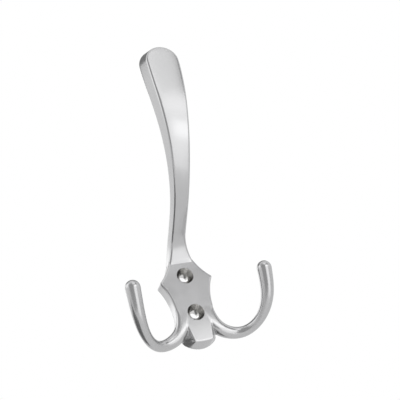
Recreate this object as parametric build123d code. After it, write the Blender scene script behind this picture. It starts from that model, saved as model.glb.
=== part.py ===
from build123d import *
from math import cos, radians, sin, tan
import os

# Triple bath hook, cast in one piece: a waisted wall plate with two countersunk screw holes,
# a tall J-shaped hat arm above it and a pair of round coat prongs that curl out of its lower end.
# Millimetres. The wall is the plane Y = 0, the front faces -Y and +Z is up.
# The origin lies on the wall, midway between the two screw holes.

# Wall plate: half widths and heights of its outline
PLATE_THICKNESS = 7.8
NECK_HALF_WIDTH = 6.6
NECK_HEIGHT = 19.5
NECK_TOP_HALF_WIDTH = 4.4
NECK_TOP_HEIGHT = 21.5
SHOULDER_HALF_WIDTH = 9.3
SHOULDER_HEIGHT = 14.2
CORNER_HALF_WIDTH = 14.6
CORNER_HEIGHT = 8.2
CORNER_RADIUS = 0.9
WAIST_HALF_WIDTH = 10.3
WAIST_HEIGHT = -8.0
FACE_EDGE_RADIUS = 0.6
BACK_EDGE_RADIUS = 0.4

# Countersunk screw holes
SCREW_SPACING = 21.0
SCREW_HOLE_DIAMETER = 5.0
COUNTERSINK_DIAMETER = 9.0
COUNTERSINK_ANGLE = 80.0

# Nose between the prongs: its face on the front, and the wider foot that it flares to at the wall
NOSE_FACE_TOP_HALF_WIDTH = 8.1
NOSE_FACE_HALF_WIDTH = 5.2
NOSE_FACE_HEIGHT = -26.2
NOSE_FACE_BOTTOM = -26.6
NOSE_FOOT_TOP_HALF_WIDTH = 8.6
NOSE_FOOT_HALF_WIDTH = 9.6
NOSE_FOOT_HEIGHT = -23.4
NOSE_FOOT_BOTTOM = -28.0
NOSE_FACE_CORNER_RADIUS = 0.9
NOSE_FOOT_CORNER_RADIUS = 2.6
NOSE_EDGE_RADIUS = 0.6

# Hat arm: the line of its front face in side view, leans measured from the vertical in degrees
ARM_CREASE_HEIGHT = 18.3
ARM_ROOT_LEAN = 15.0
ARM_ROOT_RADIUS = 20.0
ARM_LEAN = 61.0
ARM_STRAIGHT = 11.0
ARM_BEND_RADIUS = 76.0
ARM_BEND_END_LEAN = 9.0
ARM_TIP_CURVE_RADIUS = 190.0
ARM_TIP_LEAN = 4.0

# Hat arm sections: half width of the front face, and depth from the front face to the back
ARM_ROOT_HALF_WIDTH = 6.9
ARM_ROOT_DEPTH = 7.2
ARM_WAIST_HALF_WIDTH = 3.3
ARM_WAIST_DEPTH = 5.3
ARM_TIP_HALF_WIDTH = 8.6
ARM_TIP_DEPTH = 9.2
ARM_DRAFT = 12.0
ARM_TIP_SKEW = 11.0
ARM_CROWN = 0.5
ARM_EDGE_RADIUS = 1.3
ARM_EMBED = 1.5
ARM_ROOT_SECTIONS = 6
ARM_SECTIONS = 20

# Coat prongs: points of the right prong's centre line, as (side, out from the wall, height)
PRONG_ROOT = (WAIST_HALF_WIDTH - PLATE_THICKNESS / 2, PLATE_THICKNESS / 2, WAIST_HEIGHT)
PRONG_HIP = (10.5, 4.1, -19.4)
PRONG_SOLE = (21.4, 5.2, -24.5)
PRONG_BEND = (30.0, 13.3, -22.2)
PRONG_SHANK = (34.4, 22.6, -13.0)
PRONG_TIP = (35.3, 27.4, -0.6)

# Coat prongs: radius of the round section at each of those points, the root being square instead
PRONG_HIP_RADIUS = 3.65
PRONG_SOLE_RADIUS = 2.9
PRONG_BEND_RADIUS = 2.65
PRONG_SHANK_RADIUS = 3.3
PRONG_TIP_RADIUS = 3.9
PRONG_SECTIONS = 19
ROOT_SECTIONS = 5
ROUND_SPLIT = 30.0


def at(side, out, height):
    """Point given by its side, its distance out from the wall and its height."""
    return Vector(side, -out, height)


def blend(start, end, share):
    """Value that lies the given share of the way from start to end."""
    return start + (end - start) * share


def wall_plate():
    """Waisted plate: concave shoulders from the neck to the corners, and a concave waist below."""
    neck_top = (NECK_TOP_HALF_WIDTH, NECK_TOP_HEIGHT)
    neck = (NECK_HALF_WIDTH, NECK_HEIGHT)
    shoulder = (SHOULDER_HALF_WIDTH, SHOULDER_HEIGHT)
    corner = (CORNER_HALF_WIDTH, CORNER_HEIGHT)
    waist = (WAIST_HALF_WIDTH, WAIST_HEIGHT)
    right = make_face([
        Line((0, NECK_TOP_HEIGHT), neck_top),
        Line(neck_top, neck),
        ThreePointArc(neck, shoulder, corner),
        TangentArc(waist, corner, tangent=(0, 1)),
        Line(waist, (0, WAIST_HEIGHT)),
        Line((0, WAIST_HEIGHT), (0, NECK_TOP_HEIGHT)),
    ])
    outline = right + mirror(right, about=Plane.YZ)
    across = outline.vertices().sort_by(Axis.X)
    outline = fillet([across[0], across[-1]], CORNER_RADIUS)
    plate = extrude(Plane.XZ * outline, PLATE_THICKNESS)
    plate = fillet(rim(plate.faces().sort_by(Axis.Y)[0]), FACE_EDGE_RADIUS)
    return fillet(rim(plate.faces().sort_by(Axis.Y)[-1]), BACK_EDGE_RADIUS)


def rim(face):
    """Edges round a face of the plate, without those that the arm and the nose cover."""
    return [edge for edge in face.edges() if WAIST_HEIGHT < edge.center().Z < NECK_HEIGHT]


def nose():
    """Nose below the lower screw: a narrow face that flares to a wider, rounded foot at the wall."""
    def section(out, top_half_width, half_width, height, bottom, corner_radius):
        outline = make_face([
            Line((-top_half_width, WAIST_HEIGHT), (top_half_width, WAIST_HEIGHT)),
            Line((top_half_width, WAIST_HEIGHT), (half_width, height)),
            ThreePointArc((half_width, height), (0, bottom), (-half_width, height)),
            Line((-half_width, height), (-top_half_width, WAIST_HEIGHT)),
        ])
        corners = outline.vertices().group_by(Axis.Y)[0]
        return Plane.XZ.offset(out) * fillet(corners, corner_radius)

    foot_sizes = (NOSE_FOOT_TOP_HALF_WIDTH, NOSE_FOOT_HALF_WIDTH, NOSE_FOOT_HEIGHT, NOSE_FOOT_BOTTOM)
    sections = [section(0, *foot_sizes, NOSE_FOOT_CORNER_RADIUS)]
    # quarter turn that rounds the edge of the face
    for turn in (0, 45, 90):
        out = PLATE_THICKNESS - NOSE_EDGE_RADIUS * (1 - sin(radians(turn)))
        inset = NOSE_EDGE_RADIUS * (1 - cos(radians(turn)))
        top_half_width = NOSE_FACE_TOP_HALF_WIDTH - inset
        half_width = NOSE_FACE_HALF_WIDTH - inset
        height = NOSE_FACE_HEIGHT + inset
        bottom = NOSE_FACE_BOTTOM + inset
        face_sizes = (top_half_width, half_width, height, bottom)
        sections.append(section(out, *face_sizes, NOSE_FACE_CORNER_RADIUS))
    return loft(sections, ruled=True)


def arc_step(point, lean_from, lean_to, radius):
    """Point (out, height) reached from another along an arc of the side view between two leans."""
    side = radius if lean_to > lean_from else -radius
    out = point[0] + side * (cos(radians(lean_from)) - cos(radians(lean_to)))
    height = point[1] + side * (sin(radians(lean_to)) - sin(radians(lean_from)))
    return out, height


class ArmStation:
    """One section of the arm: where it is, how it leans, its sizes and how far its back is skewed up."""

    def __init__(self, point, lean, half_width, depth, draft, skew):
        out, height = point
        along = at(0, sin(radians(lean)), cos(radians(lean)))
        self.plane = Plane(at(0, out, height), x_dir=(1, 0, 0), z_dir=along)
        self.half_width = half_width
        self.depth = depth
        self.draft = draft
        self.skew = skew

    def profile(self):
        """Crowned front face and sides that draft out to a wider back, with round edges, in the XY plane."""
        front = self.half_width
        back = front + self.depth * tan(radians(self.draft))
        crown = ARM_CROWN * front / ARM_TIP_HALF_WIDTH
        outline = make_face([
            ThreePointArc((-front, 0), (0, -crown), (front, 0)),
            Line((front, 0), (back, self.depth)),
            Line((back, self.depth), (-back, self.depth)),
            Line((-back, self.depth), (-front, 0)),
        ])
        return fillet(outline.vertices(), ARM_EDGE_RADIUS)

    def placed(self, shape):
        """A shape made on the XY plane, skewed towards the back and set on this section's plane."""
        rise = tan(radians(self.skew))
        skewed = shape.transform_geometry(Matrix([[1, 0, 0, 0], [0, 1, 0, 0], [0, rise, 1, 0]]))
        return self.plane * skewed


def arm_stations():
    """Sections along the arm's front line, from its root in the plate to the centre of its round end."""
    crease = (PLATE_THICKNESS, ARM_CREASE_HEIGHT)
    lean = radians(ARM_ROOT_LEAN)
    start = (crease[0] - ARM_EMBED * sin(lean), crease[1] - ARM_EMBED * cos(lean))
    stations = [ArmStation(start, ARM_ROOT_LEAN, ARM_ROOT_HALF_WIDTH, ARM_ROOT_DEPTH, 0, 0)]

    # concave sweep out of the plate, which narrows quickly at first
    for i in range(1, ARM_ROOT_SECTIONS + 1):
        share = i / ARM_ROOT_SECTIONS
        lean = blend(ARM_ROOT_LEAN, ARM_LEAN, share)
        point = arc_step(crease, ARM_ROOT_LEAN, lean, ARM_ROOT_RADIUS)
        half_width = blend(ARM_WAIST_HALF_WIDTH, ARM_ROOT_HALF_WIDTH, (1 - share) ** 2)
        depth = blend(ARM_ROOT_DEPTH, ARM_WAIST_DEPTH, share)
        stations.append(ArmStation(point, lean, half_width, depth, ARM_DRAFT * share, 0))

    # straight shank, long bend upwards and gentle tip curve, over which the arm widens and deepens
    shank = point
    run = radians(ARM_LEAN)
    bend = (shank[0] + ARM_STRAIGHT * sin(run), shank[1] + ARM_STRAIGHT * cos(run))
    bend_end = arc_step(bend, ARM_LEAN, ARM_BEND_END_LEAN, ARM_BEND_RADIUS)
    bend_length = ARM_BEND_RADIUS * radians(ARM_LEAN - ARM_BEND_END_LEAN)
    tip_length = ARM_TIP_CURVE_RADIUS * radians(ARM_BEND_END_LEAN - ARM_TIP_LEAN)
    length = ARM_STRAIGHT + bend_length + tip_length
    for i in range(1, ARM_SECTIONS + 1):
        share = i / ARM_SECTIONS
        travel = share * length
        if travel <= ARM_STRAIGHT:
            lean = ARM_LEAN
            point = (shank[0] + travel * sin(run), shank[1] + travel * cos(run))
        elif travel <= ARM_STRAIGHT + bend_length:
            lean = blend(ARM_LEAN, ARM_BEND_END_LEAN, (travel - ARM_STRAIGHT) / bend_length)
            point = arc_step(bend, ARM_LEAN, lean, ARM_BEND_RADIUS)
        else:
            lean = blend(ARM_TIP_LEAN, ARM_BEND_END_LEAN, (length - travel) / tip_length)
            point = arc_step(bend_end, ARM_BEND_END_LEAN, lean, ARM_TIP_CURVE_RADIUS)
        half_width = blend(ARM_WAIST_HALF_WIDTH, ARM_TIP_HALF_WIDTH, 2 * share**3 - share**5)
        depth = blend(ARM_WAIST_DEPTH, ARM_TIP_DEPTH, sin(radians(90 * share)) ** 2)
        stations.append(ArmStation(point, lean, half_width, depth, ARM_DRAFT, ARM_TIP_SKEW * share))
    return stations


def hat_arm():
    """J-shaped arm: sections joined by short bands along its front line, and a turned round end."""
    stations = arm_stations()
    shaft = loft([station.placed(station.profile().face()) for station in stations], ruled=True)
    last = stations[-1]
    reach = 2 * (ARM_TIP_HALF_WIDTH + ARM_TIP_DEPTH)
    half_profile = last.profile() & Pos(reach / 2, 0) * Rectangle(reach, 2 * reach)
    end = revolve(half_profile, -Axis.Y, 180)
    return shaft + last.placed(end.solid())


class CoatProng:
    """Right prong: a square root flush with the plate, a round bar along a centre line and a domed tip."""

    def __init__(self):
        stops = (PRONG_ROOT, PRONG_HIP, PRONG_SOLE, PRONG_BEND, PRONG_SHANK, PRONG_TIP)
        points = [at(*stop) for stop in stops]
        self.path = Spline(*points)
        self.shares = [self.path.param_at_point(point) for point in points[1:]]
        self.hip = self.shares[0]
        self.radii = [
            PRONG_HIP_RADIUS,
            PRONG_SOLE_RADIUS,
            PRONG_BEND_RADIUS,
            PRONG_SHANK_RADIUS,
            PRONG_TIP_RADIUS,
        ]

    def radius_at(self, share):
        """Radius of the round section at a share of the centre line."""
        stops = list(zip(self.shares, self.radii))
        for (start, start_radius), (end, end_radius) in zip(stops, stops[1:]):
            if share <= end:
                return blend(start_radius, end_radius, (share - start) / (end - start))
        return PRONG_TIP_RADIUS

    def plane_at(self, share):
        """Plane across the centre line, its Y axis towards the wall."""
        tangent = self.path % share
        return Plane(self.path @ share, x_dir=Vector(0, 1, 0).cross(tangent), z_dir=tangent)

    def root_plane_at(self, share):
        """Plane across the centre line as seen from the front, centred in the plate's thickness."""
        point = self.path @ share
        tangent = self.path % share
        down = Vector(tangent.X, 0, tangent.Z)
        centre = at(point.X, PLATE_THICKNESS / 2, point.Z)
        return Plane(centre, x_dir=Vector(0, 1, 0).cross(down), z_dir=down)

    def square(self, front_radius, back_radius):
        """Outline as thick as the plate, with its own corner radius on the front and at the wall."""
        outline = Rectangle(PLATE_THICKNESS, PLATE_THICKNESS)
        outline = fillet(outline.vertices().group_by(Axis.Y)[0], front_radius)
        return fillet(outline.vertices().group_by(Axis.Y)[-1], back_radius)

    def split_circle(self):
        """Round outline of the hip, in as many edges as the square one has, so that they loft together."""
        arcs = []
        quarter = 90
        flat = quarter - ROUND_SPLIT
        for corner in range(4):
            start = quarter * corner + ROUND_SPLIT / 2
            arcs.append(CenterArc((0, 0), PRONG_HIP_RADIUS, start, flat))
            arcs.append(CenterArc((0, 0), PRONG_HIP_RADIUS, start + flat, ROUND_SPLIT))
        return make_face(arcs)

    def root(self):
        """Flush with both faces of the plate, with edges that grow rounder down to the hip."""
        top = Plane(at(*PRONG_ROOT), x_dir=(-1, 0, 0), z_dir=(0, 0, -1))
        sections = [top * self.square(FACE_EDGE_RADIUS, BACK_EDGE_RADIUS)]
        for i in range(1, ROOT_SECTIONS):
            step = i / ROOT_SECTIONS
            front_radius = blend(FACE_EDGE_RADIUS, PLATE_THICKNESS / 2, step)
            back_radius = blend(BACK_EDGE_RADIUS, PLATE_THICKNESS / 2, step**2)
            sections.append(self.root_plane_at(self.hip * step) * self.square(front_radius, back_radius))
        sections.append(self.plane_at(self.hip) * self.split_circle())
        return loft(sections, ruled=True)

    def bar(self):
        """Round sections joined by short bands from the hip to the tip."""
        shares = [blend(self.hip, 1.0, i / (PRONG_SECTIONS - 1)) for i in range(PRONG_SECTIONS)]
        return loft([self.plane_at(share) * Circle(self.radius_at(share)) for share in shares], ruled=True)

    def solid(self):
        """Whole prong in one piece."""
        dome = Pos(*at(*PRONG_TIP)) * Sphere(PRONG_TIP_RADIUS)
        return self.root() + self.bar() + dome


def screw_holes():
    """Countersunk bores through the plate, one above the other, as the metal to take away."""
    front = Plane.XZ.offset(PLATE_THICKNESS)
    bore = CounterSinkHole(
        radius=SCREW_HOLE_DIAMETER / 2,
        counter_sink_radius=COUNTERSINK_DIAMETER / 2,
        depth=PLATE_THICKNESS,
        counter_sink_angle=COUNTERSINK_ANGLE,
    )
    upper = front * Pos(0, SCREW_SPACING / 2) * bore
    lower = front * Pos(0, -SCREW_SPACING / 2) * bore
    return upper + lower


prong = CoatProng().solid()
prongs = prong + mirror(prong, about=Plane.YZ)
hook = wall_plate() + nose() + hat_arm() + prongs - screw_holes()

os.makedirs("parts", exist_ok=True)
export_step(hook, "parts/triple_hook.step")
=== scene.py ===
"""Dressed scene of a satin-plated bath hook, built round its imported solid.

The casting is shown as two skins: the tall hat arm, and the wall plate with its nose and coat prongs.
The hook's own sizes and the camera's place are in millimetres. Meshes, finishes and the studio are in metres.
The wall is the plane Y = 0, the front faces -Y, and the origin lies midway between the screw holes.
"""

import logging
import math
from dataclasses import dataclass, field
from enum import Enum

import bmesh
import bpy
import numpy as np
from mathutils import Matrix, Vector


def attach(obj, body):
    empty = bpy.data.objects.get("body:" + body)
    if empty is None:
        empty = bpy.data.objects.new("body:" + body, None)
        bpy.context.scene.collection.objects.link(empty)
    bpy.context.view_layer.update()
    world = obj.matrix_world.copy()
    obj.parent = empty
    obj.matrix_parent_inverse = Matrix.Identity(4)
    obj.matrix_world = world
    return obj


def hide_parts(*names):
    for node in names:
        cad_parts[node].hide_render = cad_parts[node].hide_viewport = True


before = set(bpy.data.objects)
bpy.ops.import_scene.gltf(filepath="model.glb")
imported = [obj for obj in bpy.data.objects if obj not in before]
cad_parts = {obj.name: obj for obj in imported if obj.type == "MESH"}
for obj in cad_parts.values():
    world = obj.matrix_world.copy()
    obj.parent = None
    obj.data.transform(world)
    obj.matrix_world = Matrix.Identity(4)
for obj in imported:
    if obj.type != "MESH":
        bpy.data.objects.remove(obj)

log = logging.getLogger("bath_hook")

MM = 0.001
MERGE_DISTANCE = 1e-7
CIRCLE_POWER = 2.0
WHITE = (1.0, 1.0, 1.0, 1.0)
BLACK = (0.0, 0.0, 0.0, 1.0)
NODE = "triple_hook"
BODY = "root"


def linked(name: str, data: bpy.types.ID) -> bpy.types.Object:
    """Object of a mesh, lamp or camera, linked to the scene.

    Args:
        name: Name of the object.
        data: What the object holds.

    Returns:
        The object.
    """
    item = bpy.data.objects.new(name, data)
    bpy.context.scene.collection.objects.link(item)
    return item


def new_material(name: str) -> tuple[bpy.types.Material, bpy.types.ShaderNode]:
    """Material with a node tree.

    Args:
        name: Name of the material.

    Returns:
        The material and its shader node.
    """
    material = bpy.data.materials.new(name)
    material.use_nodes = True
    return material, material.node_tree.nodes["Principled BSDF"]


@dataclass
class Shell:
    """Closed surface held as arrays.

    Attributes:
        points: Vertices in millimetres, one row each.
        faces: Vertex numbers of the faces, with three or four to a row, one array for each kind.
    """

    points: np.ndarray
    faces: list[np.ndarray]

    @classmethod
    def from_rings(cls, rings: np.ndarray) -> "Shell":
        """Skin over closed rings of points, with a fan of triangles to the middle of each end ring.

        Args:
            rings: Points as (ring, point of the ring, axis).

        Returns:
            The closed shell.
        """
        rows, columns = rings.shape[:2]
        numbers = np.arange(rows * columns).reshape(rows, columns)
        onward = np.roll(numbers, -1, axis=1)
        quads = np.stack([numbers[:-1], onward[:-1], onward[1:], numbers[1:]], axis=-1).reshape(-1, 4)
        first, last = rows * columns, rows * columns + 1
        middles = np.stack([rings[0].mean(axis=0), rings[-1].mean(axis=0)])
        near = np.stack([onward[0], numbers[0], np.full(columns, first)], axis=-1)
        far = np.stack([numbers[-1], onward[-1], np.full(columns, last)], axis=-1)
        points = np.concatenate([rings.reshape(-1, 3), middles])
        return cls(points, [quads, np.concatenate([near, far])])

    @classmethod
    def joined(cls, shells: list["Shell"]) -> "Shell":
        """One set of arrays that holds several shells.

        Args:
            shells: The shells to put together.

        Returns:
            A shell with all their points and faces.
        """
        starts = np.cumsum([0] + [len(shell.points) for shell in shells[:-1]])
        faces = [part + start for shell, start in zip(shells, starts) for part in shell.faces]
        return cls(np.concatenate([shell.points for shell in shells]), faces)

    def mirrored(self) -> "Shell":
        """The same shell on the other side of the plane X = 0.

        Returns:
            The shell, with its faces turned back outwards.
        """
        return Shell(self.points * (-1, 1, 1), [part[:, ::-1] for part in self.faces])

    def to_object(self, name: str) -> bpy.types.Object:
        """Mesh object of the shell in metres, with its doubles merged and its faces pointing outwards.

        Args:
            name: Name of the object and of its mesh.

        Returns:
            The object, linked to the scene.
        """
        mesh = bpy.data.meshes.new(name)
        rows = [row for part in self.faces for row in part.tolist()]
        mesh.from_pydata((self.points * MM).tolist(), [], rows)
        work = bmesh.new()
        work.from_mesh(mesh)
        bmesh.ops.remove_doubles(work, verts=work.verts, dist=MERGE_DISTANCE)
        bmesh.ops.recalc_face_normals(work, faces=work.faces)
        work.to_mesh(mesh)
        work.free()
        mesh.shade_smooth()
        return linked(name, mesh)


def blend(start: np.ndarray, end: np.ndarray, share: np.ndarray) -> np.ndarray:
    """Value between two others.

    Args:
        start: Value at a share of 0.
        end: Value at a share of 1.
        share: How far the value lies from start to end.

    Returns:
        The value.
    """
    return start + (end - start) * share


def at(side: np.ndarray, out: np.ndarray, height: np.ndarray) -> np.ndarray:
    """Points in space.

    Args:
        side: Distances to the right of the middle.
        out: Distances out from the wall.
        height: Heights.

    Returns:
        The points, with their axes last.
    """
    return np.stack(np.broadcast_arrays(side, -np.asarray(out, float), height), axis=-1)


def evenly(line: np.ndarray, count: int) -> np.ndarray:
    """Closed line with its points spread evenly along it.

    Args:
        line: Corner points of the line, without a repeat of the first.
        count: Number of points wanted.

    Returns:
        The new points.
    """
    loop = np.concatenate([line, line[:1]])
    steps = np.concatenate([[0.0], np.cumsum(np.linalg.norm(np.diff(loop, axis=0), axis=1))])
    wanted = np.linspace(0.0, steps[-1], count, endpoint=False)
    return np.stack([np.interp(wanted, steps, loop[:, axis]) for axis in range(loop.shape[1])], axis=-1)


def eased(line: np.ndarray, spread: float) -> np.ndarray:
    """Closed line with its corners rounded by a running mean, weighted by a bell curve along the line.

    Args:
        line: Evenly spread points of the line.
        spread: Width of the bell curve in millimetres.

    Returns:
        The rounded line.
    """
    step = np.linalg.norm(line[1] - line[0])
    reach = np.fft.fftfreq(len(line)) * len(line) * step
    bell = np.exp(-0.5 * (reach / spread) ** 2)
    weight = np.fft.fft(bell / bell.sum())[:, None]
    return np.fft.ifft(np.fft.fft(line, axis=0) * weight, axis=0).real


def inset_normals(line: np.ndarray) -> np.ndarray:
    """Directions into a closed line.

    Args:
        line: Points of the line, clockwise.

    Returns:
        A unit vector for each point.
    """
    along = np.roll(line, -1, axis=0) - np.roll(line, 1, axis=0)
    along = along / np.linalg.norm(along, axis=1, keepdims=True)
    return np.stack([along[:, 1], -along[:, 0]], axis=-1)


def arc_through(start: tuple, middle: tuple, end: tuple, count: int) -> np.ndarray:
    """Points of the circular arc through three points.

    Args:
        start: First point.
        middle: Point on the way.
        end: Last point.
        count: Number of points.

    Returns:
        The points of the arc, both ends included.
    """
    a, b, c = (np.asarray(point, float) for point in (start, middle, end))
    matrix = 2 * np.stack([b - a, c - a])
    centre = np.linalg.solve(matrix, np.array([b @ b - a @ a, c @ c - a @ a]))
    angles = np.unwrap([math.atan2(*(point - centre)[::-1]) for point in (a, b, c)])
    turn = np.linspace(angles[0], angles[2], count)
    return centre + np.linalg.norm(a - centre) * np.stack([np.cos(turn), np.sin(turn)], axis=-1)


def natural_spline(knots: np.ndarray, values: np.ndarray, wanted: np.ndarray) -> np.ndarray:
    """Natural cubic spline: the smoothest curve through its values, with no bending at its two ends.

    Args:
        knots: Rising positions of the values.
        values: Values there, one row each.
        wanted: Positions at which the curve is read.

    Returns:
        The curve's values at the wanted positions.
    """
    gaps = np.diff(knots)
    slopes = np.diff(values, axis=0) / gaps[:, None]
    system = np.eye(len(knots))
    inner = np.arange(1, len(knots) - 1)
    system[inner, inner - 1] = gaps[:-1]
    system[inner, inner] = 2 * (gaps[:-1] + gaps[1:])
    system[inner, inner + 1] = gaps[1:]
    right = np.zeros_like(values)
    right[1:-1] = 6 * np.diff(slopes, axis=0)
    bends = np.linalg.solve(system, right)
    span = np.clip(np.searchsorted(knots, wanted, side="right") - 1, 0, len(gaps) - 1)
    gap = gaps[span][:, None]
    ahead = (knots[span + 1] - wanted)[:, None]
    behind = (wanted - knots[span])[:, None]
    curve = (bends[span] * ahead**3 + bends[span + 1] * behind**3) / (6 * gap)
    curve += (values[span] / gap - bends[span] * gap / 6) * ahead
    curve += (values[span + 1] / gap - bends[span + 1] * gap / 6) * behind
    return curve


@dataclass
class HatArm:
    """Tall J-shaped arm: a drafted section with a crowned front, carried along its front line.

    Leans are in degrees from upright. The flare is the power with which the arm widens from waist to tip.
    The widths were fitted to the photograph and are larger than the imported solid's, by up to 1.1 mm a side.
    """

    crease_out: float = 7.8
    crease_height: float = 18.3
    root_lean: float = 15.0
    root_radius: float = 20.0
    lean: float = 61.0
    straight: float = 11.0
    bend_radius: float = 76.0
    bend_end_lean: float = 9.0
    tip_radius: float = 186.0
    tip_lean: float = 4.0
    crease_blend: float = 0.8
    crease_sink: float = 0.01
    root_half_width: float = 6.9
    root_depth: float = 7.2
    waist_half_width: float = 3.7
    waist_depth: float = 5.3
    tip_half_width: float = 8.65
    tip_depth: float = 9.2
    flare: float = 2.5
    draft: float = 13.5
    tip_skew: float = 11.0
    crown: float = 0.5
    edge_radius: float = 1.3
    stations: int = 190
    end_steps: int = 56
    face_points: int = 15
    edge_points: int = 11
    flank_points: int = 9
    back_points: int = 11
    touch_rounds: int = 8
    piece: bpy.types.Object | None = field(default=None, repr=False)

    def run_lengths(self) -> np.ndarray:
        """How long the runs of the front line are.

        Returns:
            Lengths of the root sweep, the straight shank, the long bend and the tip curve.
        """
        turns = (self.lean - self.root_lean, self.lean - self.bend_end_lean,
                 self.bend_end_lean - self.tip_lean)
        root, bend, tip = np.radians(turns) * (self.root_radius, self.bend_radius, self.tip_radius)
        return np.array([root, self.straight, bend, tip])

    def front_line(self, travel: np.ndarray) -> tuple[np.ndarray, np.ndarray, np.ndarray]:
        """Front line in side view: its lean changes evenly over each arc.

        The line is the sum of its steps, and at the crease a parabola eases it out of the plate's face.

        Args:
            travel: Distances along the line, rising from below the crease.

        Returns:
            Distances out from the wall, heights, and leans in radians.
        """
        marks = np.concatenate([[0.0], np.cumsum(self.run_lengths())])
        leans = (self.root_lean, self.lean, self.lean, self.bend_end_lean, self.tip_lean)
        lean = np.radians(np.interp(travel, marks, leans))
        steps = np.diff(travel)
        middle = (lean[1:] + lean[:-1]) / 2
        out = np.concatenate([[0.0], np.cumsum(np.sin(middle) * steps)])
        height = np.concatenate([[0.0], np.cumsum(np.cos(middle) * steps)])
        out += self.crease_out - np.interp(0.0, travel, out)
        height += self.crease_height - np.interp(0.0, travel, height)
        reach = np.clip(self.crease_blend - np.abs(travel), 0.0, None)
        out = np.maximum(out, self.crease_out)
        out += math.sin(math.radians(self.root_lean)) * reach**2 / (4 * self.crease_blend)
        out -= np.interp(travel, (-self.crease_blend, 0.0), (self.crease_sink, 0.0))
        return out, height, lean

    def half_profiles(self, front: np.ndarray, depth: np.ndarray, draft: np.ndarray,
                      crown: np.ndarray) -> np.ndarray:
        """Right halves of the sections, from the middle of the front to the middle of the back.

        The front is a shallow parabola, the side leans outwards by the draft, and an arc that touches both
        rounds the front edge, as another rounds the back edge.

        Args:
            front: Half widths of the front face.
            depth: Depths from front to back.
            draft: Leans of the side in radians.
            crown: How far the middle of the front stands proud of its edges.

        Returns:
            Points as (station, point, side and depth).
        """
        radius = self.edge_radius
        front, depth, draft, crown = (value[:, None] for value in (front, depth, draft, crown))
        curve = crown / front**2
        touch = front - radius
        for _ in range(self.touch_rounds):
            slope = np.arctan(2 * curve * touch)
            centre_depth = curve * touch**2 - crown + radius * np.cos(slope)
            touch = front + (centre_depth * np.sin(draft) - radius) / np.cos(draft) + radius * np.sin(slope)
        centre_side = touch - radius * np.sin(slope)
        share = np.linspace(0.0, 1.0, self.face_points)[None, :-1]
        face = np.stack([touch * share, curve * (touch * share) ** 2 - crown], axis=-1)
        bend = np.linspace(0.0, 1.0, self.edge_points)[None, :]
        turn = blend(slope - math.pi / 2, -draft, bend)
        edge = np.stack([centre_side + radius * np.cos(turn), centre_depth + radius * np.sin(turn)], axis=-1)
        back_side = front + ((depth - radius) * np.sin(draft) - radius) / np.cos(draft)
        back_turn = blend(-draft, math.pi / 2, bend)
        rear = [back_side + radius * np.cos(back_turn), depth - radius + radius * np.sin(back_turn)]
        rear = np.stack(rear, axis=-1)
        down = np.linspace(0.0, 1.0, self.flank_points)[None, 1:-1, None]
        flank = blend(edge[:, -1:], rear[:, :1], down)
        middle = np.linspace(1.0, 0.0, self.back_points)[None, 1:]
        back = np.stack(np.broadcast_arrays(back_side * middle, depth), axis=-1)
        return np.concatenate([face, edge, flank, rear, back], axis=1)

    def shell(self) -> Shell:
        """Sections carried along the front line, closed by a round end turned from the last of them.

        Returns:
            The arm's skin.
        """
        root = self.run_lengths()[0]
        length = self.run_lengths()[1:].sum()
        travel = np.linspace(-self.crease_blend, root + length, self.stations)
        out, height, lean = self.front_line(travel)
        sweep = np.clip(travel / root, 0.0, 1.0)
        rise = np.clip((travel - root) / length, 0.0, 1.0)
        narrowing = blend(self.root_half_width, self.waist_half_width, 1 - (1 - sweep) ** 2)
        widening = 2 * rise**self.flare - rise ** (2 * self.flare)
        front = narrowing + (self.tip_half_width - self.waist_half_width) * widening
        depth = blend(self.root_depth, self.waist_depth, sweep)
        depth = depth + (self.tip_depth - self.waist_depth) * np.sin(rise * math.pi / 2) ** 2
        ease = np.interp(travel, (-self.crease_blend, self.crease_blend), (0.0, 1.0))
        crown = self.crown * front / self.tip_half_width * ease**2 * (3 - 2 * ease)
        halves = self.half_profiles(front, depth, np.radians(self.draft) * sweep, crown)
        skew = np.tan(np.radians(self.tip_skew) * rise)

        side, back = halves[..., 0], halves[..., 1]
        along = back * skew[:, None]
        right = self.placed(side, back, along, out, height, lean)
        left = right * (-1, 1, 1)
        shaft = np.concatenate([right, left[:, -2:0:-1]], axis=1)

        turn = np.linspace(0.0, math.pi, self.end_steps)[:, None]
        swing = side[-1:] * np.cos(turn)
        lift = side[-1:] * np.sin(turn) + along[-1:]
        behind = np.broadcast_to(back[-1:], swing.shape)
        end = self.placed(swing, behind, lift, out[-1:], height[-1:], lean[-1:])
        return self.closed(shaft, end)

    def placed(self, side: np.ndarray, back: np.ndarray, along: np.ndarray, out: np.ndarray,
               height: np.ndarray, lean: np.ndarray) -> np.ndarray:
        """Section points set in space.

        Args:
            side: Distances to the right.
            back: Distances behind the front line, square to it and towards the wall.
            along: Distances along the front line.
            out: Where each section's front is, out from the wall.
            height: Heights of the sections.
            lean: Leans of the front line in radians.

        Returns:
            The points in space.
        """
        out, height, lean = (value[:, None] for value in (out, height, lean))
        far = out - back * np.cos(lean) + along * np.sin(lean)
        high = height + back * np.sin(lean) + along * np.cos(lean)
        return at(side, far, high)

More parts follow.
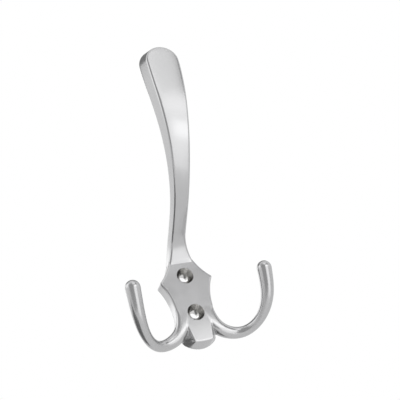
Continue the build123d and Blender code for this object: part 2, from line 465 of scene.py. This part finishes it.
    def closed(self, shaft: np.ndarray, end: np.ndarray) -> Shell:
        """Shaft rings and the half-turned end as one shell, with a fan over the hidden foot.

        Args:
            shaft: Rings of the shaft.
            end: Rows of the end, from the right half of the last ring to its left half.

        Returns:
            The closed shell.
        """
        rows, columns = shaft.shape[:2]
        ring = Shell.from_rings(shaft)
        foot = ring.faces[1][:columns]
        steps, points = end.shape[:2]
        numbers = np.arange(steps * points).reshape(steps, points) + rows * columns + 2
        grid = np.stack([numbers[:-1, :-1], numbers[:-1, 1:], numbers[1:, 1:], numbers[1:, :-1]], axis=-1)
        faces = [ring.faces[0], foot, grid.reshape(-1, 4)]
        points = np.concatenate([ring.points, end.reshape(-1, 3)])
        points[rows * columns + 1] = points[(rows - 1) * columns]
        return Shell(points, faces)

    def build(self) -> bpy.types.Object:
        """Makes the arm's mesh.

        Returns:
            The arm's object.
        """
        self.piece = self.shell().to_object("hook_arm")
        return self.piece

    def dress(self, plating: bpy.types.Material, turned: bpy.types.Material) -> None:
        """Gives the arm its finish.

        Args:
            plating: Finish of the casting.
            turned: Finish of screw holes, which the arm doesn't have; not used.
        """
        self.piece.data.materials.append(plating)


@dataclass
class CoatProng:
    """Right coat prong: a bar carried along a smooth centre line.

    It is square at the plate and round from the sole on. The stops of the centre line are (side, out from the
    wall, height), the first of them inside the plate.
    """

    lead: tuple = (6.4, 3.9, -3.0)
    root: tuple = (6.4, 3.9, -8.0)
    hip: tuple = (10.5, 4.1, -19.4)
    sole: tuple = (21.4, 5.2, -24.5)
    bend: tuple = (30.0, 13.3, -22.2)
    shank: tuple = (34.4, 22.6, -13.0)
    tip: tuple = (35.3, 27.4, -0.6)
    radii: tuple = (3.9, 3.9, 3.65, 2.9, 2.65, 3.3, 3.9)
    squareness: float = 8.0
    square_fade: float = 3.0
    rings: int = 140
    points: int = 72
    dome_rings: int = 14

    def shell(self) -> Shell:
        """Rings along the centre line and over the domed tip.

        Each ring is a superellipse, whose power falls from the squareness to a circle's at the sole.

        Returns:
            The prong's skin.
        """
        named = (self.lead, self.root, self.hip, self.sole, self.bend, self.shank, self.tip)
        stops = at(*np.array(named).T)
        knots = np.concatenate([[0.0], np.cumsum(np.linalg.norm(np.diff(stops, axis=0), axis=1))])
        travel = np.linspace(0.0, knots[-1], self.rings)
        centre = natural_spline(knots, stops, travel)
        radius = natural_spline(knots, np.array(self.radii)[:, None], travel)[:, 0]
        along = np.gradient(centre, travel, axis=0)
        along /= np.linalg.norm(along, axis=1, keepdims=True)
        fade = np.clip(1 - travel / knots[named.index(self.sole)], 0.0, 1.0) ** self.square_fade
        power = CIRCLE_POWER + (self.squareness - CIRCLE_POWER) * fade

        turn = np.linspace(0.0, math.pi / 2, self.dome_rings)[1:-1]
        centre = np.concatenate([centre, centre[-1] + radius[-1] * np.sin(turn)[:, None] * along[-1]])
        along = np.concatenate([along, np.repeat(along[-1:], len(turn), axis=0)])
        radius = np.concatenate([radius, radius[-1] * np.cos(turn)])
        power = np.concatenate([power, np.full(len(turn), CIRCLE_POWER)])

        across = np.cross((0.0, 1.0, 0.0), along)
        across /= np.linalg.norm(across, axis=1, keepdims=True)
        inward = np.cross(along, across)
        angle = np.linspace(0.0, 2 * math.pi, self.points, endpoint=False)[None, :]
        exponent = 2 / power[:, None]
        wide = np.sign(np.cos(angle)) * np.abs(np.cos(angle)) ** exponent
        deep = np.sign(np.sin(angle)) * np.abs(np.sin(angle)) ** exponent
        rings = wide[..., None] * across[:, None] + deep[..., None] * inward[:, None]
        return Shell.from_rings(centre[:, None] + radius[:, None, None] * rings)


@dataclass
class WallPlate:
    """Waisted wall plate with its nose and coat prongs, merged into one skin, and its countersunk holes."""

    thickness: float = 7.8
    neck: tuple = (6.6, 19.5)
    neck_top: tuple = (4.4, 21.5)
    shoulder: tuple = (9.3, 14.2)
    corner: tuple = (14.6, 8.2)
    corner_spread: float = 0.55
    waist: tuple = (10.3, -8.0)
    hidden_foot: tuple = (9.0, -11.5)
    shoulder_edge: float = 0.3
    waist_edge: float = 0.9
    edge_heights: tuple = (6.0, 8.0)
    back_edge: float = 0.4
    nose_top: float = -3.0
    nose_face: tuple = (8.1, 5.2, -26.2, -26.6)
    nose_foot: tuple = (8.6, 9.6, -23.4, -28.0)
    nose_face_spread: float = 0.5
    nose_foot_spread: float = 1.1
    nose_edge: float = 0.45
    screw_spacing: float = 21.0
    screw_hole: float = 5.0
    countersink: float = 9.0
    countersink_angle: float = 80.0
    countersink_land: float = 0.2
    cutter_overrun: float = 1.0
    hole_skin: float = 0.02
    crisp_angle: float = 42.0
    grain: float = 0.27
    smoothing: int = 4
    smooth_share: float = 0.5
    arc_points: int = 60
    waist_points: int = 80
    outline_points: int = 700
    nose_points: int = 600
    rim_points: int = 9
    nose_rim_points: int = 6
    hole_points: int = 128
    prong: CoatProng = field(default_factory=CoatProng)
    piece: bpy.types.Object | None = field(default=None, repr=False)

    def outline(self) -> np.ndarray:
        """Outline seen from the front: concave shoulders above the corners and a concave waist below them.

        Below the waist it runs on to a foot hidden inside the prongs and the nose, so that no rim shows.

        Returns:
            Points as (side, height), clockwise.
        """
        shoulder = arc_through(self.neck, self.shoulder, self.corner, self.arc_points)
        reach, drop = np.subtract(self.corner, self.waist)
        radius = (reach**2 + drop**2) / (2 * reach)
        turn = np.linspace(math.asin(drop / radius), 0.0, self.waist_points)[:, None]
        waist = np.array(self.waist) + radius * np.concatenate([1 - np.cos(turn), np.sin(turn)], axis=1)
        right = np.concatenate([[self.neck_top], shoulder, waist[1:], [self.hidden_foot]])
        line = evenly(np.concatenate([right, right[::-1] * (-1, 1)]), self.outline_points)
        return eased(line, self.corner_spread)

    def plate_shell(self) -> Shell:
        """Outline carried from the wall to the front.

        Both rims are quarter circles. The front one is larger along the waist than round the shoulders.

        Returns:
            The plate's skin.
        """
        line = self.outline()
        inward = inset_normals(line)
        back = np.full(len(line), self.back_edge)
        front = np.interp(line[:, 1], self.edge_heights, (self.waist_edge, self.shoulder_edge))
        turn = np.linspace(0.0, math.pi / 2, self.rim_points)[:, None]
        inset = np.concatenate([back * (1 - np.sin(turn)), front * (1 - np.cos(turn))])
        out = np.concatenate([back * (1 - np.cos(turn)), self.thickness - front * (1 - np.sin(turn))])
        flat = line + inset[..., None] * inward
        return Shell.from_rings(at(flat[..., 0], out, flat[..., 1]))

    def nose_outline(self, sizes: np.ndarray, spread: float) -> np.ndarray:
        """Outline of the nose at one depth: tapered sides, a bowed lower edge and rounded corners.

        Args:
            sizes: Half width at the waist, half width and height of the corners, and lowest height.
            spread: How far the corners are eased.

        Returns:
            Points as (side, height), clockwise.
        """
        top, half, height, bottom = sizes
        bow = arc_through((half, height), (0.0, bottom), (-half, height), self.arc_points)
        waist = self.waist[1]
        left = [(-top, waist), (-top, self.nose_top)]
        right = [(top, self.nose_top), (top, waist)]
        return eased(evenly(np.concatenate([left, right, bow]), self.nose_points), spread)

    def nose_shell(self) -> Shell:
        """Nose outlines from the wide foot at the wall to the narrow face, drawn in round its edge.

        Returns:
            The nose's skin.
        """
        face = np.array(self.nose_face)
        drawn_in = np.array([-1, -1, 1, 1])
        turn = np.linspace(0.0, math.pi / 2, self.nose_rim_points)
        inset = self.nose_edge * (1 - np.cos(turn))
        foot = self.nose_outline(self.nose_foot, self.nose_foot_spread)
        edge = [self.nose_outline(face + step * drawn_in, self.nose_face_spread) for step in inset]
        lines = np.stack([foot, *edge])
        out = np.concatenate([[0.0], self.thickness - self.nose_edge * (1 - np.sin(turn))])
        return Shell.from_rings(at(lines[..., 0], out[:, None], lines[..., 1]))

    def hole_profile(self) -> tuple[np.ndarray, np.ndarray]:
        """Half section of a screw hole: a bore, a cone that opens to the front and a short land.

        Returns:
            Distances out from the wall, and the radius at each.
        """
        bore, mouth = self.screw_hole / 2, self.countersink / 2
        slope = math.tan(math.radians(self.countersink_angle / 2))
        land = self.thickness - self.countersink_land
        over = self.cutter_overrun
        out = np.array([-over, land - (mouth - bore) / slope, land, self.thickness + over])
        return out, np.array([bore, bore, mouth, mouth])

    def hole_shell(self, height: float) -> Shell:
        """Metal that one screw hole takes away: its half section turned about its axis.

        Args:
            height: Height of the hole's middle.

        Returns:
            The cutter's skin.
        """
        out, radius = (value[:, None] for value in self.hole_profile())
        angle = np.linspace(0.0, 2 * math.pi, self.hole_points, endpoint=False)[None, :]
        return Shell.from_rings(at(radius * np.sin(angle), out, height + radius * np.cos(angle)))

    def build(self) -> bpy.types.Object:
        """Merges the shells into one smooth casting and cuts the screw holes.

        Returns:
            The plate's object.
        """
        prong = self.prong.shell()
        shells = [self.plate_shell(), self.nose_shell(), prong, prong.mirrored()]
        casting = Shell.joined(shells).to_object("hook_plate_casting")
        merge = casting.modifiers.new("Merge", "REMESH")
        merge.mode = "VOXEL"
        merge.voxel_size = self.grain * MM
        merge.use_smooth_shade = True
        ease = casting.modifiers.new("Ease", "SMOOTH")
        ease.factor = self.smooth_share
        ease.iterations = self.smoothing
        holes = [self.hole_shell(side * self.screw_spacing / 2) for side in (1, -1)]
        cutter = Shell.joined(holes).to_object("hook_screw_cutter")
        cut = casting.modifiers.new("Screw holes", "BOOLEAN")
        cut.operation = "DIFFERENCE"
        cut.solver = "EXACT"
        cut.object = cutter
        self.piece = self.applied(casting, "hook_plate")
        bpy.data.objects.remove(casting)
        bpy.data.objects.remove(cutter)
        return self.piece

    def applied(self, source: bpy.types.Object, name: str) -> bpy.types.Object:
        """Object that holds another's finished mesh, with the rims of the holes kept crisp.

        Args:
            source: Object with modifiers.
            name: Name of the new object.

        Returns:
            The new object, linked to the scene.
        """
        graph = bpy.context.evaluated_depsgraph_get()
        mesh = bpy.data.meshes.new_from_object(source.evaluated_get(graph))
        mesh.name = name
        mesh.shade_smooth()
        mesh.set_sharp_from_angle(angle=math.radians(self.crisp_angle))
        return linked(name, mesh)

    def in_holes(self) -> np.ndarray:
        """Which faces lie in a screw hole: between the plate's two faces, within the hole's half section.

        Returns:
            One truth value for each face.
        """
        faces = self.piece.data.polygons
        middles = np.empty(3 * len(faces))
        faces.foreach_get("center", middles)
        side, back, height = middles.reshape(-1, 3).T / MM
        radius = np.hypot(side, np.abs(height) - self.screw_spacing / 2)
        skin = self.hole_skin
        between = (-back > skin) & (-back < self.thickness - skin)
        return between & (radius < np.interp(-back, *self.hole_profile()) + skin)

    def dress(self, plating: bpy.types.Material, turned: bpy.types.Material) -> None:
        """Gives the plate its finish, and the screw holes theirs.

        Args:
            plating: Finish of the casting.
            turned: Finish of the bores and countersinks.
        """
        mesh = self.piece.data
        mesh.materials.clear()
        mesh.materials.append(plating)
        mesh.materials.append(turned)
        mesh.polygons.foreach_set("material_index", self.in_holes().astype(np.int32))
        mesh.update()


class SocketKind(Enum):
    """Kinds of socket that the node groups use."""

    VALUE = "NodeSocketFloat"
    VECTOR = "NodeSocketVector"


class SatinGrain:
    """Node group of a bead-blasted, plated surface: soft clouds of gloss and a fine grain.

    Its outputs are a gloss mask that wanders slowly, and the height of the grain.
    """

    NAME = "Satin grain"
    CLOUD_DETAIL = 3.0
    GRAIN_DETAIL = 2.0

    def group(self) -> bpy.types.ShaderNodeTree:
        """Builds the group once.

        Returns:
            The node group.
        """
        found = bpy.data.node_groups.get(self.NAME)
        if found is not None:
            return found
        tree = bpy.data.node_groups.new(self.NAME, "ShaderNodeTree")
        sockets = tree.interface
        sockets.new_socket("Vector", in_out="INPUT", socket_type=SocketKind.VECTOR.value)
        sockets.new_socket("Cloud Scale", in_out="INPUT", socket_type=SocketKind.VALUE.value)
        sockets.new_socket("Grain Scale", in_out="INPUT", socket_type=SocketKind.VALUE.value)
        sockets.new_socket("Cloud", in_out="OUTPUT", socket_type=SocketKind.VALUE.value)
        sockets.new_socket("Grain", in_out="OUTPUT", socket_type=SocketKind.VALUE.value)
        enter = tree.nodes.new("NodeGroupInput")
        leave = tree.nodes.new("NodeGroupOutput")
        cloud = tree.nodes.new("ShaderNodeTexNoise")
        cloud.inputs["Detail"].default_value = self.CLOUD_DETAIL
        grain = tree.nodes.new("ShaderNodeTexNoise")
        grain.inputs["Detail"].default_value = self.GRAIN_DETAIL
        tree.links.new(enter.outputs["Vector"], cloud.inputs["Vector"])
        tree.links.new(enter.outputs["Cloud Scale"], cloud.inputs["Scale"])
        tree.links.new(enter.outputs["Vector"], grain.inputs["Vector"])
        tree.links.new(enter.outputs["Grain Scale"], grain.inputs["Scale"])
        tree.links.new(cloud.outputs["Fac"], leave.inputs["Cloud"])
        tree.links.new(grain.outputs["Fac"], leave.inputs["Grain"])
        return tree


@dataclass(frozen=True)
class SatinPlating:
    """Satin nickel-chrome plating on a zinc casting."""

    name: str = "satin_plating"
    colour: tuple = (0.54, 0.54, 0.545)
    dull_colour: tuple = (0.50, 0.50, 0.505)
    roughness: tuple = (0.20, 0.27)
    cloud_scale: float = 60.0
    cloud_range: tuple = (0.3, 0.7)
    grain_scale: float = 2600.0
    grain_height: float = 0.00001
    grain_strength: float = 0.12

    def material(self) -> bpy.types.Material:
        """Builds the plating's material.

        Returns:
            The material, with its shader at the end of its own tree.
        """
        material, shader = new_material(self.name)
        nodes, links = material.node_tree.nodes, material.node_tree.links
        shader.inputs["Metallic"].default_value = 1.0
        place = nodes.new("ShaderNodeTexCoord")
        grain = nodes.new("ShaderNodeGroup")
        grain.node_tree = SatinGrain().group()
        grain.inputs["Cloud Scale"].default_value = self.cloud_scale
        grain.inputs["Grain Scale"].default_value = self.grain_scale
        links.new(place.outputs["Object"], grain.inputs["Vector"])
        tone = nodes.new("ShaderNodeMix")
        tone.data_type = "RGBA"
        tone.inputs["A"].default_value = (*self.dull_colour, 1.0)
        tone.inputs["B"].default_value = (*self.colour, 1.0)
        links.new(grain.outputs["Cloud"], tone.inputs["Factor"])
        links.new(tone.outputs["Result"], shader.inputs["Base Color"])
        gloss = nodes.new("ShaderNodeMapRange")
        gloss.inputs["From Min"].default_value = self.cloud_range[0]
        gloss.inputs["From Max"].default_value = self.cloud_range[1]
        gloss.inputs["To Min"].default_value = self.roughness[0]
        gloss.inputs["To Max"].default_value = self.roughness[1]
        links.new(grain.outputs["Cloud"], gloss.inputs["Value"])
        links.new(gloss.outputs["Result"], shader.inputs["Roughness"])
        bump = nodes.new("ShaderNodeBump")
        bump.inputs["Strength"].default_value = self.grain_strength
        bump.inputs["Distance"].default_value = self.grain_height
        links.new(grain.outputs["Grain"], bump.inputs["Height"])
        links.new(bump.outputs["Normal"], shader.inputs["Normal"])
        return material


class TurnedRings:
    """Node group of the rings that a countersinking tool leaves.

    They are a sine wave of the distance from the hole's axis, and their height is the output.
    One hole lies as far above the origin as the other lies below it.
    """

    NAME = "Turned rings"

    def group(self) -> bpy.types.ShaderNodeTree:
        """Builds the group once.

        Returns:
            The node group.
        """
        found = bpy.data.node_groups.get(self.NAME)
        if found is not None:
            return found
        tree = bpy.data.node_groups.new(self.NAME, "ShaderNodeTree")
        sockets = tree.interface
        sockets.new_socket("Vector", in_out="INPUT", socket_type=SocketKind.VECTOR.value)
        sockets.new_socket("Hole Height", in_out="INPUT", socket_type=SocketKind.VALUE.value)
        sockets.new_socket("Radians Per Metre", in_out="INPUT", socket_type=SocketKind.VALUE.value)
        sockets.new_socket("Rings", in_out="OUTPUT", socket_type=SocketKind.VALUE.value)
        enter = tree.nodes.new("NodeGroupInput")
        leave = tree.nodes.new("NodeGroupOutput")
        split = tree.nodes.new("ShaderNodeSeparateXYZ")
        fold = self.step(tree, "ABSOLUTE")
        centre = self.step(tree, "SUBTRACT")
        square_side = self.step(tree, "MULTIPLY")
        square_height = self.step(tree, "MULTIPLY_ADD")
        radius = self.step(tree, "SQRT")
        turn = self.step(tree, "MULTIPLY")
        wave = self.step(tree, "SINE")
        tree.links.new(enter.outputs["Vector"], split.inputs["Vector"])
        tree.links.new(split.outputs["Z"], fold.inputs[0])
        tree.links.new(fold.outputs[0], centre.inputs[0])
        tree.links.new(enter.outputs["Hole Height"], centre.inputs[1])
        tree.links.new(split.outputs["X"], square_side.inputs[0])
        tree.links.new(split.outputs["X"], square_side.inputs[1])
        tree.links.new(centre.outputs[0], square_height.inputs[0])
        tree.links.new(centre.outputs[0], square_height.inputs[1])
        tree.links.new(square_side.outputs[0], square_height.inputs[2])
        tree.links.new(square_height.outputs[0], radius.inputs[0])
        tree.links.new(radius.outputs[0], turn.inputs[0])
        tree.links.new(enter.outputs["Radians Per Metre"], turn.inputs[1])
        tree.links.new(turn.outputs[0], wave.inputs[0])
        tree.links.new(wave.outputs[0], leave.inputs["Rings"])
        return tree

    def step(self, tree: bpy.types.ShaderNodeTree, operation: str) -> bpy.types.ShaderNode:
        """Math node in a tree.

        Args:
            tree: Tree that gets the node.
            operation: What the node does.

        Returns:
            The node.
        """
        node = tree.nodes.new("ShaderNodeMath")
        node.operation = operation
        return node


@dataclass(frozen=True)
class TurnedHoleWithPaintedLight:
    """Slightly warm metal of the countersinks and bores, with the tool's fine rings, its colour brighter than
    the plating's as painted light that lightens the recessed holes.
    """

    name: str = "turned_hole_painted_light"
    # Brighter than the plating: painted light standing in for the light that reaches into the holes.
    colour: tuple = (0.76, 0.755, 0.745)
    groove_colour: tuple = (0.64, 0.635, 0.625)
    roughness: tuple = (0.13, 0.2)
    hole_height: float = 0.0105
    radians_per_metre: float = 25000.0
    ring_height: float = 0.000004
    ring_strength: float = 0.3

    def material(self) -> bpy.types.Material:
        """Builds the holes' material.

        Returns:
            The material, with its shader at the end of its own tree.
        """
        material, shader = new_material(self.name)
        nodes, links = material.node_tree.nodes, material.node_tree.links
        shader.inputs["Metallic"].default_value = 1.0
        place = nodes.new("ShaderNodeTexCoord")
        rings = nodes.new("ShaderNodeGroup")
        rings.node_tree = TurnedRings().group()
        rings.inputs["Hole Height"].default_value = self.hole_height
        rings.inputs["Radians Per Metre"].default_value = self.radians_per_metre
        links.new(place.outputs["Object"], rings.inputs["Vector"])
        share = nodes.new("ShaderNodeMapRange")
        share.inputs["From Min"].default_value = -1.0
        links.new(rings.outputs["Rings"], share.inputs["Value"])
        tone = nodes.new("ShaderNodeMix")
        tone.data_type = "RGBA"
        tone.inputs["A"].default_value = (*self.groove_colour, 1.0)
        tone.inputs["B"].default_value = (*self.colour, 1.0)
        links.new(share.outputs["Result"], tone.inputs["Factor"])
        links.new(tone.outputs["Result"], shader.inputs["Base Color"])
        gloss = nodes.new("ShaderNodeMapRange")
        gloss.inputs["To Min"].default_value = self.roughness[1]
        gloss.inputs["To Max"].default_value = self.roughness[0]
        links.new(share.outputs["Result"], gloss.inputs["Value"])
        links.new(gloss.outputs["Result"], shader.inputs["Roughness"])
        bump = nodes.new("ShaderNodeBump")
        bump.inputs["Strength"].default_value = self.ring_strength
        bump.inputs["Distance"].default_value = self.ring_height
        links.new(rings.outputs["Rings"], bump.inputs["Height"])
        links.new(bump.outputs["Normal"], shader.inputs["Normal"])
        return material


@dataclass(frozen=True)
class PhotoCamera:
    """Camera low and to the left of the hook, looking up at it, and rolled."""

    location: tuple = (-139.724, -370.193, -152.381)
    heading: float = 24.0
    rise: float = 27.58
    roll: float = 18.15
    lens: float = 72.0
    sensor: float = 36.0
    clip_start: float = 0.01

    def build(self) -> bpy.types.Object:
        """Makes the camera and hands it to the scene.

        Returns:
            The camera's object.
        """
        heading, rise, roll = (math.radians(angle) for angle in (self.heading, self.rise, self.roll))
        flat = math.cos(rise)
        back = Vector((-math.sin(heading) * flat, -math.cos(heading) * flat, -math.sin(rise)))
        level = Vector((math.cos(heading), -math.sin(heading), 0.0))
        upright = back.cross(level)
        right = math.cos(roll) * level - math.sin(roll) * upright
        up = math.sin(roll) * level + math.cos(roll) * upright
        data = bpy.data.cameras.new("photo_camera")
        data.sensor_width = self.sensor
        data.lens = self.lens
        data.clip_start = self.clip_start
        camera = linked("photo_camera", data)
        turn = Matrix((right, up, back)).transposed().to_4x4()
        camera.matrix_world = Matrix.Translation(Vector(self.location) * MM) @ turn
        bpy.context.scene.camera = camera
        return camera


class PanelKind(Enum):
    """What a studio panel is."""

    LAMP = "soft box"
    CARD = "card"


@dataclass(frozen=True)
class Panel:
    """Flat studio panel that faces the hook: a lamp's soft box, or a card that is only seen in the metal.

    Attributes:
        name: Name of the panel.
        kind: Soft box or card.
        azimuth: Degrees to the right of straight in front of the hook.
        elevation: Degrees above the hook.
        distance: Distance from the hook in metres.
        size: Width and height in metres.
        level: How bright the panel looks, where the white surroundings are 1. A lamp's is added to what lies
            behind it, and a card's stands in its place.
        target: Point that the panel faces, in metres.
    """

    name: str
    kind: PanelKind
    azimuth: float
    elevation: float
    distance: float
    size: tuple
    level: float
    target: tuple = (0.0, -0.03, 0.03)

    def turn(self) -> Matrix:
        """Where the panel stands.

        Returns:
            The matrix that sets it in its place, facing its target.
        """
        azimuth, elevation = math.radians(self.azimuth), math.radians(self.elevation)
        flat = math.cos(elevation)
        away = Vector((math.sin(azimuth) * flat, -math.cos(azimuth) * flat, math.sin(elevation)))
        place = Vector(self.target) + self.distance * away
        return Matrix.Translation(place) @ away.to_track_quat("Z", "Y").to_matrix().to_4x4()

    def build(self) -> bpy.types.Object:
        """Makes the panel.

        Returns:
            The panel's object.
        """
        return self.lamp() if self.kind is PanelKind.LAMP else self.card()

    def lamp(self) -> bpy.types.Object:
        """Soft box whose power gives it the panel's level.

        Returns:
            The lamp's object.
        """
        data = bpy.data.lights.new(self.name, "AREA")
        data.shape = "RECTANGLE"
        data.size, data.size_y = self.size
        data.energy = self.level * math.pi * self.size[0] * self.size[1]
        lamp = linked(self.name, data)
        lamp.matrix_world = self.turn()
        lamp.visible_camera = False
        return lamp

    def card(self) -> bpy.types.Object:
        """Evenly lit card, which the camera doesn't see and which casts no shadow.

        Returns:
            The card's object.
        """
        wide, high = self.size[0] / 2, self.size[1] / 2
        corners = np.array([(-wide, -high, 0.0), (wide, -high, 0.0), (wide, high, 0.0), (-wide, high, 0.0)])
        turn = np.array(self.turn())
        mesh = bpy.data.meshes.new(self.name)
        mesh.from_pydata((corners @ turn[:3, :3].T + turn[:3, 3]).tolist(), [], [(0, 1, 2, 3)])
        material, shader = new_material(self.name)
        shader.inputs["Base Color"].default_value = BLACK
        shader.inputs["Specular IOR Level"].default_value = 0.0
        shader.inputs["Emission Color"].default_value = WHITE
        shader.inputs["Emission Strength"].default_value = self.level
        mesh.materials.append(material)
        card = linked(self.name, mesh)
        card.visible_camera = False
        card.visible_diffuse = False
        card.visible_shadow = False
        return card


@dataclass
class Studio:
    """Pale floor far below the hook, white surroundings, soft lamps and grey cards."""

    floor_height: float = -0.55
    floor_half: float = 12.0
    floor_shade: float = 0.86
    floor_roughness: float = 0.9
    surround: float = 0.95
    panels: tuple = (
        Panel("lamp_key", PanelKind.LAMP, 20.0, -10.5, 0.8, (0.56, 0.77), 0.65),
        Panel("lamp_mid", PanelKind.LAMP, 20.0, -43.0, 0.8, (0.56, 0.2), 0.48),
        Panel("lamp_low", PanelKind.LAMP, 20.0, -57.0, 0.8, (0.56, 0.2), 0.26),
        Panel("lamp_arm", PanelKind.LAMP, 11.0, 27.0, 0.24, (0.18, 0.14), 0.85, (0.0, -0.06, 0.095)),
        Panel("lamp_nose", PanelKind.LAMP, 24.0, 12.0, 0.2, (0.1, 0.05), 0.45, (0.0, -0.0078, -0.02)),
        Panel("lamp_left", PanelKind.LAMP, -98.0, 36.0, 0.8, (0.44, 0.6), 0.6),
        Panel("lamp_behind", PanelKind.LAMP, -158.0, 26.0, 0.8, (0.4, 0.4), 0.6),
        Panel("card_left", PanelKind.CARD, -31.0, 5.0, 0.75, (0.98, 1.5), 0.48),
        Panel("card_low_left", PanelKind.CARD, -118.0, -38.0, 0.5, (0.65, 0.56), 0.2),
        Panel("card_front_high", PanelKind.CARD, 31.0, 30.0, 0.72, (0.57, 0.32), 0.38),
        Panel("card_right", PanelKind.CARD, 120.0, 5.0, 0.8, (1.1, 1.3), 0.85),
        Panel("card_behind_high", PanelKind.CARD, 176.0, 60.0, 0.6, (0.9, 0.36), 0.25),
    )

    def build(self) -> None:
        """Makes the floor, the surroundings and the panels."""
        self.floor()
        self.surroundings()
        for panel in self.panels:
            panel.build()
        bpy.context.scene.view_settings.view_transform = "Standard"

    def floor(self) -> None:
        """Plain pale floor, well below the camera."""
        half = self.floor_half
        mesh = bpy.data.meshes.new("floor")
        corners = [(-half, -half, self.floor_height), (half, -half, self.floor_height),
                   (half, half, self.floor_height), (-half, half, self.floor_height)]
        mesh.from_pydata(corners, [], [(0, 1, 2, 3)])
        material, shader = new_material("pale_floor")
        shader.inputs["Base Color"].default_value = (self.floor_shade,) * 3 + (1.0,)
        shader.inputs["Roughness"].default_value = self.floor_roughness
        mesh.materials.append(material)
        floor = linked("floor", mesh)

    def surroundings(self) -> None:
        """White to the camera and in reflections, and a softer fill for everything else."""
        world = bpy.data.worlds.new("studio")
        world.use_nodes = True
        nodes, links = world.node_tree.nodes, world.node_tree.links
        backing = nodes["Background"]
        backing.inputs["Color"].default_value = WHITE
        path = nodes.new("ShaderNodeLightPath")
        seen = nodes.new("ShaderNodeMath")
        seen.operation = "MAXIMUM"
        links.new(path.outputs["Is Camera Ray"], seen.inputs[0])
        links.new(path.outputs["Is Glossy Ray"], seen.inputs[1])
        through = nodes.new("ShaderNodeMath")
        through.operation = "MAXIMUM"
        links.new(seen.outputs[0], through.inputs[0])
        links.new(path.outputs["Is Transmission Ray"], through.inputs[1])
        level = nodes.new("ShaderNodeMapRange")
        level.inputs["To Min"].default_value = self.surround
        level.inputs["To Max"].default_value = 1.0
        links.new(through.outputs[0], level.inputs["Value"])
        links.new(level.outputs["Result"], backing.inputs["Strength"])
        bpy.context.scene.world = world


def main() -> None:
    """Builds the hook's skins, their finish, the camera and the studio."""
    logging.basicConfig(level=logging.INFO, format="%(name)s: %(message)s")
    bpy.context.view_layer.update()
    # The holes' finish carries painted light: its colour is brighter than the plating's to lighten the
    # recesses.
    plating, turned = SatinPlating().material(), TurnedHoleWithPaintedLight().material()
    for assembly in (HatArm(), WallPlate()):
        piece = assembly.build()
        assembly.dress(plating, turned)
        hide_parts(NODE)
        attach(piece, BODY)
        log.info("%s: %d faces", piece.name, len(piece.data.polygons))
    PhotoCamera().build()
    Studio().build()


if __name__ == "__main__":
    main()
